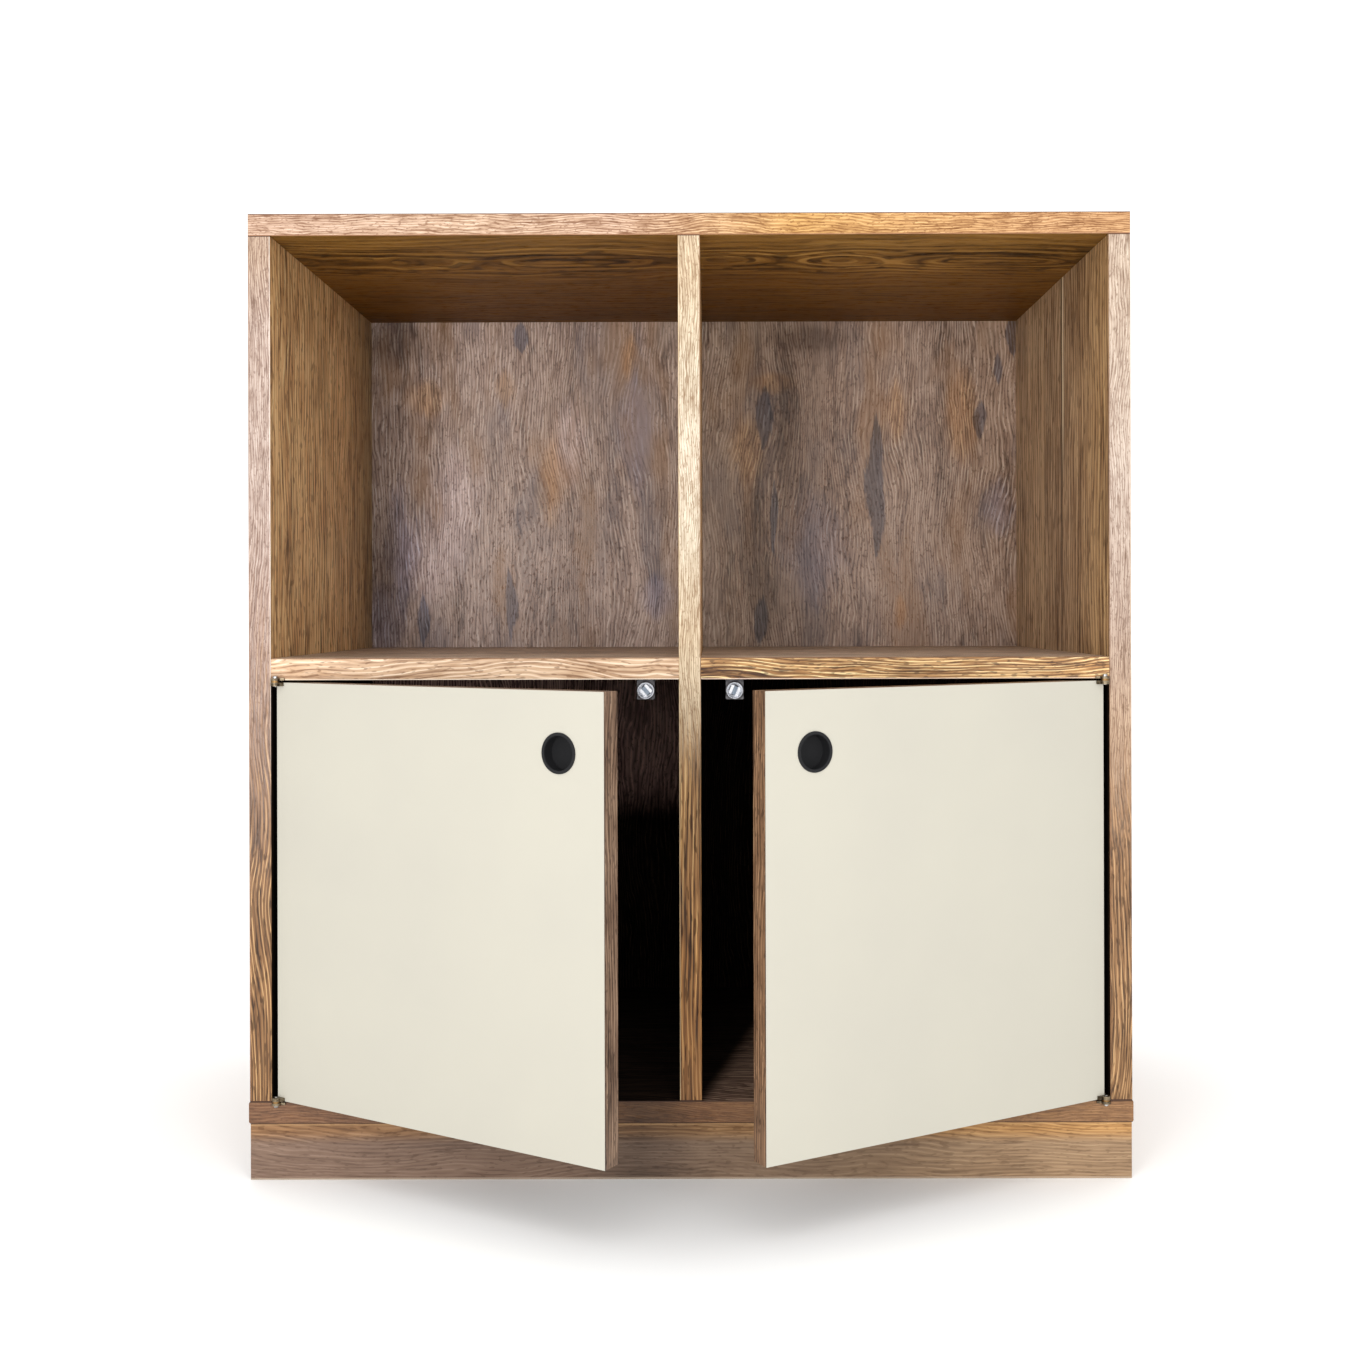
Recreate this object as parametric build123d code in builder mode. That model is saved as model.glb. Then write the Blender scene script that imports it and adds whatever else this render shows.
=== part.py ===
from build123d import *
import os
from collections import namedtuple
from math import cos, radians, sin

os.makedirs("parts", exist_ok=True)

# Driving dimensions in millimetres and degrees.
# Origin on the floor at the middle of the footprint, X to the right, Y to the back, Z up.
width = 762
depth = 430
height = 835
board = 19
bottom_overhang = 1
bottom_corner = 2
plinth_height = 49
plinth_inset = 2
lower_opening = 364
back_thickness = 8
back_rebate = 10
back_play = 0.5
arris = 0.5
glue_line = 0.1

door_thickness = 19
door_gap = 1.75
divider_gap = 4.2
hinge_side_gap = 4
left_door_open = 31.4
right_door_open = 30.2
laminate = 1
inner_veneer = 0.8
lipping = 5
lipping_round = 1.5

knuckle_radius = 4
knuckle_from_side = 4.5
pin_proud = 2.5
pin_radius = 1.5
pin_play = 0.05
cabinet_leaf_thickness = 2
door_leaf_thickness = 3

pull_from_free_edge = {"left": 42.3, "right": 45.1}
pull_from_top = 48
pull_radius = 16
pull_depth = 12

catch_x = 39
catch_drop = 10.7
catch_gap = 0.4
left_core_turn = 42
right_core_turn = -22
strike_radius = 7.5
strike_thickness = 1.5

# Wood screws: radius of the countersunk head, radius of the shank, length over all.
Screw = namedtuple("Screw", "head shank length")
back_screw = Screw(3.2, 1.6, 20)
plinth_screw = Screw(3.6, 1.8, 56)
leaf_screw = Screw(3, 1.4, 14)
catch_screw = Screw(2.8, 1.4, 14)
strike_screw = Screw(2.6, 1.3, 12)

# Levels and limits worked out from the driving dimensions.
half_width = width / 2
inner_half = half_width - board
rebate_x = inner_half + back_rebate
front = -depth / 2
rear = depth / 2
inner_rear = rear - back_thickness
floor_top = plinth_height + board
shelf_low = floor_top + lower_opening
shelf_top = shelf_low + board
ceiling = height - board
divider_half = board / 2

# A door is measured from its hinge line: along it, inward through it, and up.
door_low = floor_top + door_gap
door_top = shelf_low - door_gap
hinge_x = inner_half - knuckle_from_side
hinge_y = front - pin_proud
hinge_edge = hinge_side_gap - knuckle_from_side
free_edge = hinge_x - divider_half - divider_gap
face_out = pin_proud
face_in = pin_proud + door_thickness

hands = {"left": -1, "right": 1}
door_open = {-1: left_door_open, 1: right_door_open}
core_turn = {-1: left_core_turn, 1: right_core_turn}


def keep(piece, name):
    """Label a finished piece and write it under the same name."""
    piece.part.label = name
    export_step(piece.part, f"parts/{name}.step")


def ordered(one, other):
    """Two limits of a span, the lower one first."""
    return (min(one, other), max(one, other))


def block(x, y, z, mode=Mode.ADD):
    """A straight block between its low and high limits on each axis."""
    with BuildSketch(Plane.XY.offset(z[0])) as outline:
        with Locations((sum(x) / 2, sum(y) / 2)):
            Rectangle(x[1] - x[0], y[1] - y[0])
    extrude(outline.sketch, amount=z[1] - z[0], mode=mode)


def rod(plane, spots, radius, length, mode=Mode.ADD):
    """Round rods standing on a plane at the same spots, or holes of that shape."""
    with BuildSketch(plane) as outline:
        with Locations(*spots):
            Circle(radius)
    extrude(outline.sketch, amount=length, mode=mode)


def disc(plane, radius, length, mode=Mode.ADD):
    """One round rod or hole centred on a plane."""
    rod(plane, [(0, 0)], radius, length, mode)


# Screws sit at planes that face out of their heads, and each slot stops at its own angle.
slot_width = 0.8
slot_depth = 0.7
slot_step = 37
screw_play = 0.05
hang = (Align.CENTER, Align.CENTER, Align.MAX)


def screws(places, kind):
    """Slotted countersunk screws, as separate solids of one piece."""
    for count, place in enumerate(places):
        slot_turn = (0, 0, slot_step * count)
        with Locations(place):
            Cylinder(kind.shank, kind.length, align=hang)
            Cone(kind.shank, kind.head, kind.head - kind.shank, align=hang)
            Box(2 * kind.head, slot_width, slot_depth, slot_turn, hang, Mode.SUBTRACT)


def screw_holes(places, kind):
    """The countersunk holes that take the same screws."""
    with Locations(*places):
        CounterSinkHole(kind.shank + screw_play, kind.head + screw_play, kind.length + 1, 90)


# Dowel joints: uprights into the top and bottom boards, shelves into the uprights.
dowel_radius = 4
dowel_in_face = 12
dowel_in_end = 24
dowel_chamfer = 0.8
hole_radius = dowel_radius + glue_line
hole_spare = 0.5
side_mid = half_width - board / 2
shelf_mid = (shelf_low + shelf_top) / 2
upright_places = (-side_mid, 0, side_mid)
upright_rows = (-160, -55, 55, 160)
shelf_rows = [(y, shelf_mid) for y in (-140, 10, 150)]
top_dowels = (ceiling - dowel_in_end, ceiling + dowel_in_face)
bottom_dowels = (floor_top - dowel_in_face, floor_top + dowel_in_end)
through_dowels = (-divider_half - dowel_in_end, divider_half + dowel_in_end)
end_dowels = {
    1: (inner_half - dowel_in_end, inner_half + dowel_in_face),
    -1: (-inner_half - dowel_in_face, -inner_half + dowel_in_end),
}


def dowel_holes(plane, spots, span):
    """Dowel holes, a little longer than their dowels at both ends."""
    length = span[1] - span[0] + 2 * hole_spare
    rod(plane.offset(span[0] - hole_spare), spots, hole_radius, length, Mode.SUBTRACT)


def upright_holes(places, span):
    """Upright dowel holes in every row of the given uprights."""
    dowel_holes(Plane.XY, [(x, y) for x in places for y in upright_rows], span)


# Back panel screws, driven forwards into the rear edge of each board that the panel lies on.
side_levels = (130, 330, 550, 750)
board_places = (-270, -90, 90, 270)
divider_levels = (160, 320, 560, 720)
shelf_places = (120, 240)


def from_behind(spots):
    """Planes on the panel's bare face at the given places across and up."""
    return [Plane(origin=(x, rear, z), z_dir=(0, 1, 0)) for x, z in spots]


top_screws = from_behind([(x, ceiling + back_rebate / 2) for x in board_places])
bottom_screws = from_behind([(x, floor_top - back_rebate / 2) for x in board_places])
divider_screws = from_behind([(0, z) for z in divider_levels])
side_screws = {}
shelf_screws = {}
for side in hands.values():
    side_screws[side] = from_behind([(side * (inner_half + back_rebate / 2), z) for z in side_levels])
    shelf_screws[side] = from_behind([(side * x, shelf_mid) for x in shelf_places])
panel_screws = top_screws + bottom_screws + divider_screws
for places in (side_screws, shelf_screws):
    panel_screws += places[-1] + places[1]

# Plinth screws, up through the corner glue blocks into the bottom board.
glue_block = 22
glue_block_height = 44
block_low = plinth_height - glue_block_height
block_x = half_width - board - glue_block / 2
block_y = rear - plinth_inset - board - glue_block / 2
block_places = [(x, y) for x in (-block_x, block_x) for y in (-block_y, block_y)]
plinth_screws_at = [Plane(origin=(x, y, block_low), z_dir=(0, 0, -1)) for x, y in block_places]

# Catch geometry: a barrel across the housing, facing forwards, and a flange behind it.
barrel_radius = 8.2
barrel_bore = 6.7
barrel_length = 14
barrel_cavity = 11
barrel_proud = 1.5
housing_width = 15.5
housing_height = 18.5
flange_length = 28
flange_thickness = 3
flange_screws = (8, 20)
flange_corner = 3
housing_round = 1
barrel_chamfer = 0.4
poles_proud = 0.5
catch_z = shelf_low - catch_drop
pole_front = front + door_thickness + strike_thickness + catch_gap
barrel_front = pole_front + poles_proud
barrel_back = barrel_front + barrel_length


def catch_screws_at(side):
    """Planes under a catch's flange for its two screws."""
    low = shelf_low - flange_thickness
    return [Plane(origin=(side * catch_x, barrel_back + y, low), z_dir=(0, 0, -1)) for y in flange_screws]


def door_plane(side, up, closed=False):
    """Level plane on a hinge line, X along the door to its free edge."""
    swing = radians(0 if closed else door_open[side])
    along = (-side * cos(swing), -sin(swing), 0)
    return Plane(origin=(side * hinge_x, hinge_y, up), x_dir=along, z_dir=(0, 0, 1))


def door_point(side, along, inward, up, closed=False):
    """A point of a door, given by its distances from the hinge line."""
    return door_plane(side, up, closed).from_local_coords((along, -side * inward, 0))


def door_block(side, along, inward, up):
    """A block of a door between limits along it, through it and up it."""
    with BuildSketch(door_plane(side, up[0])) as outline:
        with Locations((sum(along) / 2, -side * sum(inward) / 2)):
            Rectangle(along[1] - along[0], inward[1] - inward[0])
    extrude(outline.sketch, amount=up[1] - up[0])


def facing_out(side, along, inward, up):
    """Plane square to a door at one spot, Z pointing out of its front."""
    outward = door_plane(side, up).y_dir * side
    return Plane(origin=door_point(side, along, inward, up), z_dir=outward)


# Hinge leaves: a round nose on the pin, a neck beside it and a plate behind the door's face.
leaf_length = 44
leaf_width = 9
leaf_corner = 2
leaf_setback = 4
leaf_fit = 0.1
neck_width = 8
leaf_screw_places = (14, 34)
leaf_back = face_out + leaf_setback + leaf_width
leaf_mid = leaf_back - leaf_width / 2

# A hinge is named by the level of the board face that it lies in and the way into that board.
hinges = {"upper": (shelf_low, 1), "lower": (floor_top, -1)}


def leaf_outline(side, up, closed, grow=0):
    """Plan of a leaf seen along the pin, grown all round for the recess that takes it."""
    with BuildSketch(door_plane(side, up, closed)) as outline:
        Circle(knuckle_radius + grow)
        with Locations((hinge_edge + neck_width / 2, -side * leaf_back / 2)):
            Rectangle(neck_width + 2 * grow, leaf_back + 2 * grow)
        with Locations((hinge_edge + leaf_length / 2, -side * leaf_mid)):
            RectangleRounded(leaf_length + 2 * grow, leaf_width + 2 * grow, leaf_corner + grow)
    return outline.sketch


def leaf_recess(side, up, closed, thickness):
    """Recess for a leaf, sunk from one level."""
    extrude(leaf_outline(side, up, closed, leaf_fit), amount=thickness, mode=Mode.SUBTRACT)


def leaf_screws_at(side, up, closed, facing):
    """Planes on a leaf's bare face, which looks up or down, for its two screws."""
    spots = [door_point(side, along, leaf_mid, up, closed) for along in leaf_screw_places]
    return [Plane(origin=spot, z_dir=(0, 0, facing)) for spot in spots]


def cabinet_leaf_cut(side, level):
    """Recess and screw holes for one cabinet leaf."""
    bare, into = hinges[level]
    leaf_recess(side, bare, True, into * cabinet_leaf_thickness)
    screw_holes(leaf_screws_at(side, bare, True, -into), leaf_screw)


# Top board: spans the full width and lies on the three uprights.
with BuildPart() as top_board:
    block((-half_width, half_width), (front, rear), (ceiling, height))
    fillet(top_board.edges(), arris)
    block((-rebate_x, rebate_x), (inner_rear, rear), (ceiling, ceiling + back_rebate), Mode.SUBTRACT)
    upright_holes(upright_places, top_dowels)
    screw_holes(top_screws, back_screw)
keep(top_board, "top_board")

# Bottom board: carries the uprights, holds the lower cabinet leaves and sits on the plinth.
# It stands out a little past both sides, and its ends are rounder than its other edges.
with BuildPart() as bottom_board:
    with BuildSketch(Plane.XZ.offset(-rear)):
        with Locations((0, plinth_height + board / 2)):
            RectangleRounded(width + 2 * bottom_overhang, board, bottom_corner)
    extrude(amount=depth)
    fillet(bottom_board.faces().filter_by(Axis.Y).edges(), arris)
    block((-rebate_x, rebate_x), (inner_rear, rear), (floor_top - back_rebate, floor_top), Mode.SUBTRACT)
    upright_holes(upright_places, bottom_dowels)
    screw_holes(bottom_screws, back_screw)
    screw_holes(plinth_screws_at, plinth_screw)
    for side in hands.values():
        cabinet_leaf_cut(side, "lower")
keep(bottom_board, "bottom_board")

# Sides: stand between the top and bottom boards, with a rebate for the back panel.
for hand, side in hands.items():
    with BuildPart() as side_board:
        block(ordered(side * inner_half, side * half_width), (front, rear), (floor_top, ceiling))
        fillet(side_board.edges(), arris)
        step = ordered(side * inner_half, side * rebate_x)
        block(step, (inner_rear, rear), (floor_top, ceiling), Mode.SUBTRACT)
        upright_holes([side * side_mid], top_dowels)
        upright_holes([side * side_mid], bottom_dowels)
        dowel_holes(Plane.YZ, shelf_rows, end_dowels[side])
        screw_holes(side_screws[side], back_screw)
    keep(side_board, f"{hand}_side")

# Centre divider: runs through from bottom to top, and the shelves butt against it.
with BuildPart() as centre_divider:
    block((-divider_half, divider_half), (front, inner_rear), (floor_top, ceiling))
    fillet(centre_divider.edges(), arris)
    upright_holes([0], top_dowels)
    upright_holes([0], bottom_dowels)
    dowel_holes(Plane.YZ, shelf_rows, through_dowels)
    screw_holes(divider_screws, back_screw)
keep(centre_divider, "centre_divider")

# Shelves: one each side of the divider, holding the upper cabinet leaf and the catch.
for hand, side in hands.items():
    with BuildPart() as shelf:
        span = ordered(side * divider_half, side * inner_half)
        block(span, (front, inner_rear), (shelf_low, shelf_top))
        fillet(shelf.edges(), arris)
        dowel_holes(Plane.YZ, shelf_rows, end_dowels[side])
        dowel_holes(Plane.YZ, shelf_rows, through_dowels)
        screw_holes(shelf_screws[side], back_screw)
        screw_holes(catch_screws_at(side), catch_screw)
        cabinet_leaf_cut(side, "upper")
    keep(shelf, f"{hand}_shelf")

# Back panel: one sheet in the rebates of the outer boards, behind the divider and shelves.
with BuildPart() as back_panel:
    panel_x = rebate_x - back_play
    panel_low = floor_top - back_rebate + back_play
    panel_high = ceiling + back_rebate - back_play
    block((-panel_x, panel_x), (inner_rear, rear), (panel_low, panel_high))
    screw_holes(panel_screws, back_screw)
keep(back_panel, "back_panel")

with BuildPart() as back_panel_screws:
    screws(panel_screws, back_screw)
keep(back_panel_screws, "back_panel_screws")

# Dowels: pegs with chamfered ends in every board joint.
with BuildPart() as carcass_dowels:
    upright_spots = [(x, y) for x in upright_places for y in upright_rows]
    for span in (top_dowels, bottom_dowels):
        rod(Plane.XY.offset(span[0]), upright_spots, dowel_radius, span[1] - span[0])
    for span in (end_dowels[-1], through_dowels, end_dowels[1]):
        rod(Plane.YZ.offset(span[0]), shelf_rows, dowel_radius, span[1] - span[0])
    chamfer(carcass_dowels.edges().filter_by(GeomType.CIRCLE), dowel_chamfer)
keep(carcass_dowels, "carcass_dowels")

# Plinth: a frame of boards on edge with a middle rail, flush with the sides and set back a little
# at the front and rear.
plinth_x = half_width
plinth_y = rear - plinth_inset
between = (-plinth_y + board, plinth_y - board)
plinth_boards = {
    "plinth_front": ((-plinth_x, plinth_x), (-plinth_y, between[0])),
    "plinth_back": ((-plinth_x, plinth_x), (between[1], plinth_y)),
    "plinth_left": ((-plinth_x, -plinth_x + board), between),
    "plinth_right": ((plinth_x - board, plinth_x), between),
    "plinth_middle_rail": ((-divider_half, divider_half), between),
}
for name, (span_x, span_y) in plinth_boards.items():
    with BuildPart() as plinth_board:
        block(span_x, span_y, (0, plinth_height))
        fillet(plinth_board.edges().filter_by(Axis.Z), arris)
    keep(plinth_board, name)

with BuildPart() as plinth_glue_blocks:
    half_block = glue_block / 2
    for x, y in block_places:
        block((x - half_block, x + half_block), (y - half_block, y + half_block), (block_low, plinth_height))
    screw_holes(plinth_screws_at, plinth_screw)
keep(plinth_glue_blocks, "plinth_glue_blocks")

with BuildPart() as plinth_screws:
    screws(plinth_screws_at, plinth_screw)
keep(plinth_screws, "plinth_screws")

# Doors: a core board lipped all round in solid wood, a pale laminate in front, veneer behind.
pull_up = door_top - pull_from_top
pull_body_radius = 15.3
pull_cavity_radius = 14.3
pull_mouth_radius = 13.5
pull_flange = 0.8
pull_lip = 2
pull_floor = 1.2
strike_rim_round = 0.4
rim_along = (hinge_edge + lipping, free_edge - lipping)
rim_up = (door_low + lipping, door_top - lipping)
lipping_in = (face_out + laminate, face_in)
mid_up = (door_low + door_top) / 2
mid_along = (hinge_edge + free_edge) / 2

# Middles of the inner edges to be rounded: the two long uprights, then each level edge in three.
inner_edges = [(hinge_edge, mid_up), (free_edge, mid_up)]
for up in (door_low, door_top):
    for along in (hinge_edge + lipping / 2, mid_along, free_edge - lipping / 2):
        inner_edges.append((along, up))


def door_leaf_recesses(side):
    """Recesses in a door's top and bottom edges for its two leaves."""
    leaf_recess(side, door_top, False, -door_leaf_thickness)
    leaf_recess(side, door_low, False, door_leaf_thickness)


def door_leaf_screws_at(side):
    """Planes on both door leaves of a door for their screws."""
    return leaf_screws_at(side, door_top, False, 1) + leaf_screws_at(side, door_low, False, -1)


for hand, side in hands.items():
    pull_front = facing_out(side, free_edge - pull_from_free_edge[hand], face_out, pull_up)
    strike_back = facing_out(side, hinge_x - catch_x, face_in, catch_z)
    strike_face = strike_back.offset(-strike_thickness)
    strike_screw_at = [Plane(origin=strike_face.origin, z_dir=-strike_face.z_dir)]

    with BuildPart() as door_core:
        door_block(side, rim_along, (face_out + laminate, face_in - inner_veneer), rim_up)
        disc(pull_front, pull_body_radius + glue_line, -pull_depth - glue_line, Mode.SUBTRACT)
        screw_holes(door_leaf_screws_at(side), leaf_screw)
        screw_holes(strike_screw_at, strike_screw)
    keep(door_core, f"{hand}_door_core")

    with BuildPart() as door_face:
        door_block(side, (hinge_edge, free_edge), (face_out, face_out + laminate), (door_low, door_top))
        disc(pull_front, pull_body_radius + glue_line, -laminate, Mode.SUBTRACT)
        door_leaf_recesses(side)
    keep(door_face, f"{hand}_door_face")

    with BuildPart() as door_inner_veneer:
        door_block(side, rim_along, (face_in - inner_veneer, face_in), rim_up)
        screw_holes(strike_screw_at, strike_screw)
    keep(door_inner_veneer, f"{hand}_door_inner_veneer")

    # Upright strips run the full height, and the level ones fit between them with a glue line.
    with BuildPart() as door_lipping:
        for along in ((hinge_edge, rim_along[0]), (rim_along[1], free_edge)):
            door_block(side, along, lipping_in, (door_low, door_top))
        for up in ((door_low, rim_up[0]), (rim_up[1], door_top)):
            door_block(side, (rim_along[0] + glue_line, rim_along[1] - glue_line), lipping_in, up)
        rounded = ShapeList()
        for along, up in inner_edges:
            nearest = door_lipping.edges().sort_by_distance(door_point(side, along, face_in, up))
            rounded.append(nearest[0])
        fillet(rounded, lipping_round)
        door_leaf_recesses(side)
        screw_holes(door_leaf_screws_at(side), leaf_screw)
    keep(door_lipping, f"{hand}_door_lipping")

    # Finger pull: a cup let into the face, with a lip that the fingertips hook behind.
    with BuildPart() as door_pull:
        disc(pull_front, pull_body_radius, -pull_depth)
        disc(pull_front, pull_radius, pull_flange)
        mouth_depth = pull_flange + pull_depth - pull_floor
        disc(pull_front.offset(pull_flange), pull_mouth_radius, -mouth_depth, Mode.SUBTRACT)
        behind_lip = pull_front.offset(pull_flange - pull_lip)
        disc(behind_lip, pull_cavity_radius, pull_lip - mouth_depth, Mode.SUBTRACT)
    keep(door_pull, f"{hand}_door_pull")

    with BuildPart() as strike_plate:
        disc(strike_back, strike_radius, -strike_thickness)
        inwards = Axis(strike_back.origin, -strike_back.z_dir)
        fillet(strike_plate.edges().group_by(inwards)[-1], strike_rim_round)
        screw_holes(strike_screw_at, strike_screw)
    keep(strike_plate, f"{hand}_strike_plate")

    with BuildPart() as strike_plate_screw:
        screws(strike_screw_at, strike_screw)
    keep(strike_plate_screw, f"{hand}_strike_screw")

    with BuildPart() as door_hinge_screws:
        screws(door_leaf_screws_at(side), leaf_screw)
    keep(door_hinge_screws, f"{hand}_door_hinge_screws")

# Hinges: at each outer door corner a cabinet leaf, a washer, a door leaf and a headed pin.
pin_hole = pin_radius + pin_play
pin_head_radius = 2.2
pin_head_height = 2
pin_head_dome = 0.8
pin_tail = 0.6
pin_tail_chamfer = 0.3
washer_radius = 3.4
cabinet_leaf_screws_at = []
for level, (bare, into) in hinges.items():
    for hand, side in hands.items():
        door_edge = bare - into * door_gap
        in_board = into * cabinet_leaf_thickness
        in_door = -into * door_leaf_thickness
        screw_places = leaf_screws_at(side, bare, True, -into)
        cabinet_leaf_screws_at += screw_places

        with BuildPart() as cabinet_leaf:
            extrude(leaf_outline(side, bare, True), amount=in_board)
            disc(door_plane(side, bare), pin_hole, in_board, Mode.SUBTRACT)
            screw_holes(screw_places, leaf_screw)
        keep(cabinet_leaf, f"{level}_{hand}_cabinet_leaf")

        with BuildPart() as door_leaf:
            extrude(leaf_outline(side, door_edge, False), amount=in_door)
            disc(door_plane(side, door_edge), pin_hole, in_door, Mode.SUBTRACT)
            screw_holes(leaf_screws_at(side, door_edge, False, into), leaf_screw)
        keep(door_leaf, f"{level}_{hand}_door_leaf")

        with BuildPart() as hinge_washer:
            washer_thickness = door_gap - pin_play
            disc(door_plane(side, bare), washer_radius, -into * washer_thickness)
            disc(door_plane(side, bare), pin_hole, -into * washer_thickness, Mode.SUBTRACT)
        keep(hinge_washer, f"{level}_{hand}_hinge_washer")

        with BuildPart() as hinge_pin:
            head_base = door_plane(side, bare + in_board)
            shank = cabinet_leaf_thickness + door_gap + door_leaf_thickness + pin_tail
            disc(head_base, pin_radius, -into * shank)
            disc(head_base, pin_head_radius, into * pin_head_height)
            ends = hinge_pin.edges().sort_by(Axis.Z, reverse=into < 0)
            chamfer(ends[0], pin_tail_chamfer)
            fillet(ends[-1], pin_head_dome)
        keep(hinge_pin, f"{level}_{hand}_hinge_pin")

with BuildPart() as cabinet_hinge_screws:
    screws(cabinet_leaf_screws_at, leaf_screw)
keep(cabinet_hinge_screws, "cabinet_hinge_screws")

# Catches: a cast housing under each shelf, and in its barrel a magnet between two pole plates
# that turns freely on a rivet to lie flat on the strike plate.
core_width = 8.6
core_length = 10.2
pole_thickness = 2.5
pole_height = 8.2
magnet_height = 7.6
magnet_recess = 0.8
rivet_radius = 1.25
rivet_collar = 2.6
rivet_head = 2.5
rivet_head_height = 1
pole_x = (core_width - pole_thickness) / 2
pole_round = 1.2

for hand, side in hands.items():
    x = side * catch_x
    span_x = (x - housing_width / 2, x + housing_width / 2)
    barrel_plane = Plane(origin=(x, barrel_front, catch_z), z_dir=(0, -1, 0))
    with BuildPart() as catch_housing:
        block(span_x, (barrel_front + barrel_proud, barrel_back), (shelf_low - housing_height, shelf_low))
        fillet(catch_housing.edges().filter_by(Axis.Y).group_by(Axis.Z)[0], housing_round)
        block(span_x, (barrel_back, barrel_back + flange_length), (shelf_low - flange_thickness, shelf_low))
        fillet(catch_housing.edges().filter_by(Axis.Z).group_by(Axis.Y)[-1], flange_corner)
        disc(barrel_plane, barrel_radius, -barrel_length)
        chamfer(catch_housing.edges().sort_by(Axis.Y)[0], barrel_chamfer)
        disc(barrel_plane, barrel_bore, -barrel_cavity, Mode.SUBTRACT)
        disc(barrel_plane, rivet_radius + pin_play, -barrel_length, Mode.SUBTRACT)
        screw_holes(catch_screws_at(side), catch_screw)
    keep(catch_housing, f"{hand}_catch_housing")

    turn = radians(core_turn[side])
    core_plane = Plane(origin=(x, pole_front, catch_z), x_dir=(cos(turn), 0, sin(turn)), z_dir=(0, -1, 0))
    with BuildPart() as catch_poles:
        with BuildSketch(core_plane) as ends:
            with Locations((-pole_x, 0), (pole_x, 0)):
                Rectangle(pole_thickness, pole_height)
            corners = ends.vertices().group_by(Axis.X)
            fillet(corners[0] + corners[-1], pole_round)
        extrude(amount=-core_length)
    keep(catch_poles, f"{hand}_catch_poles")

    with BuildPart() as catch_magnet:
        with BuildSketch(core_plane.offset(-magnet_recess)):
            Rectangle(core_width - 2 * pole_thickness, magnet_height)
        extrude(amount=magnet_recess - core_length)
    keep(catch_magnet, f"{hand}_catch_magnet")

    # The rivet's collar fills the space behind the core, and its head bears on the housing's back.
    with BuildPart() as catch_rivet:
        core_end = core_plane.offset(-core_length)
        collar_length = poles_proud + barrel_cavity - core_length - pin_play
        head_start = poles_proud + barrel_length - core_length + pin_play
        disc(core_end, rivet_collar, -collar_length)
        disc(core_end, rivet_radius, -head_start)
        disc(core_end.offset(-head_start), rivet_head, -rivet_head_height)
    keep(catch_rivet, f"{hand}_catch_rivet")

with BuildPart() as catch_screws:
    screws(catch_screws_at(-1) + catch_screws_at(1), catch_screw)
keep(catch_screws, "catch_screws")
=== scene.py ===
from math import cos, pi, radians, sin

import bpy
from mathutils import Euler, Matrix, Vector


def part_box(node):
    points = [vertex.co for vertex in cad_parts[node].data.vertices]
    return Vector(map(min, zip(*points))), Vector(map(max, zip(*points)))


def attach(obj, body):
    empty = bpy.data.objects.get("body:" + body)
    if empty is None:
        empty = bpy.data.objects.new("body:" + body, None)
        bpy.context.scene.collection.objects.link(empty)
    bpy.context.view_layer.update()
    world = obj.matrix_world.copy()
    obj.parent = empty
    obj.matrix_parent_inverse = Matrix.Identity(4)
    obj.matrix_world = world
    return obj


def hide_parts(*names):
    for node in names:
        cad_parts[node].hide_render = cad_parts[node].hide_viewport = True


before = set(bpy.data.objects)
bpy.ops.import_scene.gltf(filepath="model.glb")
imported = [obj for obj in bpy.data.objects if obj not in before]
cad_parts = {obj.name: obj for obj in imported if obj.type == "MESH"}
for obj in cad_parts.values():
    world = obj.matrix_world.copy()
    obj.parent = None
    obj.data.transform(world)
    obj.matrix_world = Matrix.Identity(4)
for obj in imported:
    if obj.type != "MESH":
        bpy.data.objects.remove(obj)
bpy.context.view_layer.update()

# Camera: at the photographer's place, a little right of the middle and level with the shelves.
# Its three small turns and its shift are the ones that bring the corners of the bays into line.
camera_place = Vector((0.01715, -1.6125, 0.491))
camera_yaw = radians(0.104)
camera_pitch = radians(-0.02)
camera_roll = radians(0.149)
camera_lens = 42.54
camera_shift = (-0.0158, -0.0536)
looking_ahead = Euler((radians(90), 0, 0))

photo_camera = bpy.data.cameras.new("photo_camera")
photo_camera.lens = camera_lens
photo_camera.shift_x, photo_camera.shift_y = camera_shift
camera_stand = bpy.data.objects.new("photo_camera", photo_camera)
bpy.context.scene.collection.objects.link(camera_stand)
aim = Euler((0, 0, camera_yaw)).to_matrix() @ Euler((camera_pitch, camera_roll, 0)).to_matrix()
camera_stand.matrix_world = Matrix.Translation(camera_place) @ (aim @ looking_ahead.to_matrix()).to_4x4()
bpy.context.scene.camera = camera_stand


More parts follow.
